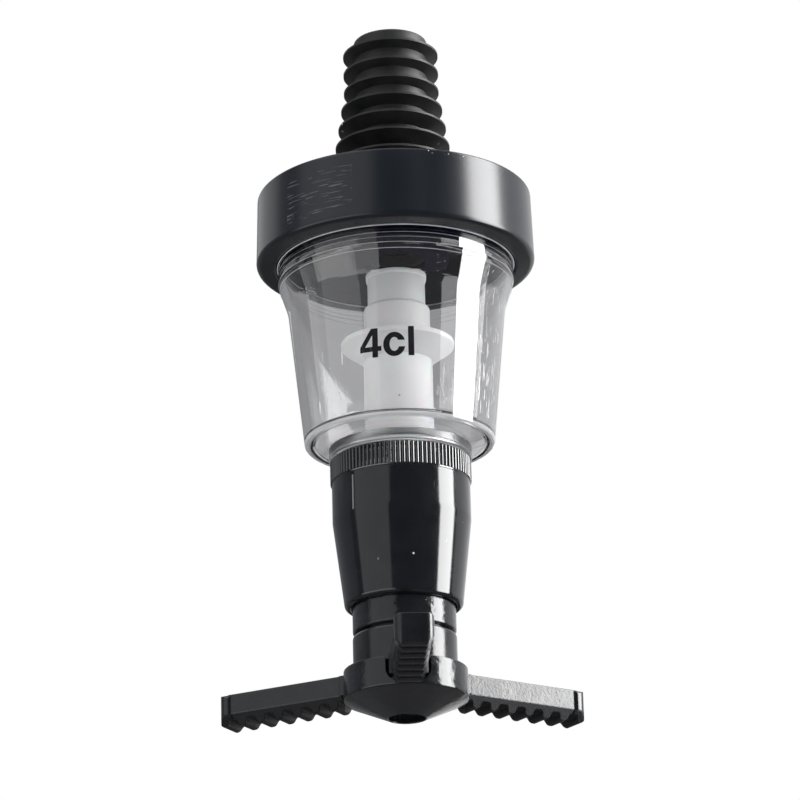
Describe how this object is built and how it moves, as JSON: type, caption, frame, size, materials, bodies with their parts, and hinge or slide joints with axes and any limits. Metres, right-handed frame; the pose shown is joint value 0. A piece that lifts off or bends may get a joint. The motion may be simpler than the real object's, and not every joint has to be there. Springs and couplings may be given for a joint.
{
  "type": "push-up bottle spirit measure",
  "caption": "Non-drip pour spout: ribbed cork, lid, clear measuring bowl, sprung sliding stem and a toothed three-arm head that a glass lifts to pour.",
  "frame": {"origin": "centre of the lid's top face, on the axis", "axes": "+Z along the axis towards the bottle, -Y along the front arm"},
  "size_m": [0.0736, 0.0698, 0.1466],
  "materials": {
    "cork_rubber": "satin",
    "lid_plastic": "semi-gloss",
    "seal_rubber": "matte",
    "valve_rubber": "satin",
    "clear_bowl": "clear",
    "black_plastic": "gloss",
    "white_plastic": "satin",
    "spring_steel": "drawn wire",
    "vent_steel": "satin"
  },
  "bodies": {
    "measure": {"bottle_cork": "cork_rubber", "lid": "lid_plastic", "lid_gasket": "seal_rubber", "inlet_seal": "seal_rubber", "inlet_seal_retainer": "lid_plastic", "measuring_bowl": "clear_bowl", "outlet_seal": "valve_rubber", "outlet_seal_retainer": "black_plastic", "knurled_ring": "black_plastic", "spring_housing": "black_plastic", "return_spring": "spring_steel"},
    "follower": {"thrust_washer": "spring_steel"},
    "plunger": {"slide_sleeve": "black_plastic", "valve_stem": "white_plastic", "inlet_piston": "white_plastic", "baffle_disc": "white_plastic", "vent_tube": "vent_steel", "arm_spider": "black_plastic", "spout_cap": "black_plastic", "spout_o_ring": "seal_rubber"}
  },
  "joints": [
    {"name": "pusher_slide", "type": "slide", "parent": "measure", "child": "follower", "axis": [0, 0, 1], "range_m": [0, 0.0095], "stiffness_N_per_m": 350, "springref_m": -0.008, "deforming": ["return_spring"]},
    {"name": "plunger_turn", "type": "hinge", "parent": "follower", "child": "plunger", "pos_m": [0, 0, -0.092], "axis": [0, 0, 1], "continuous": true}
  ]
}
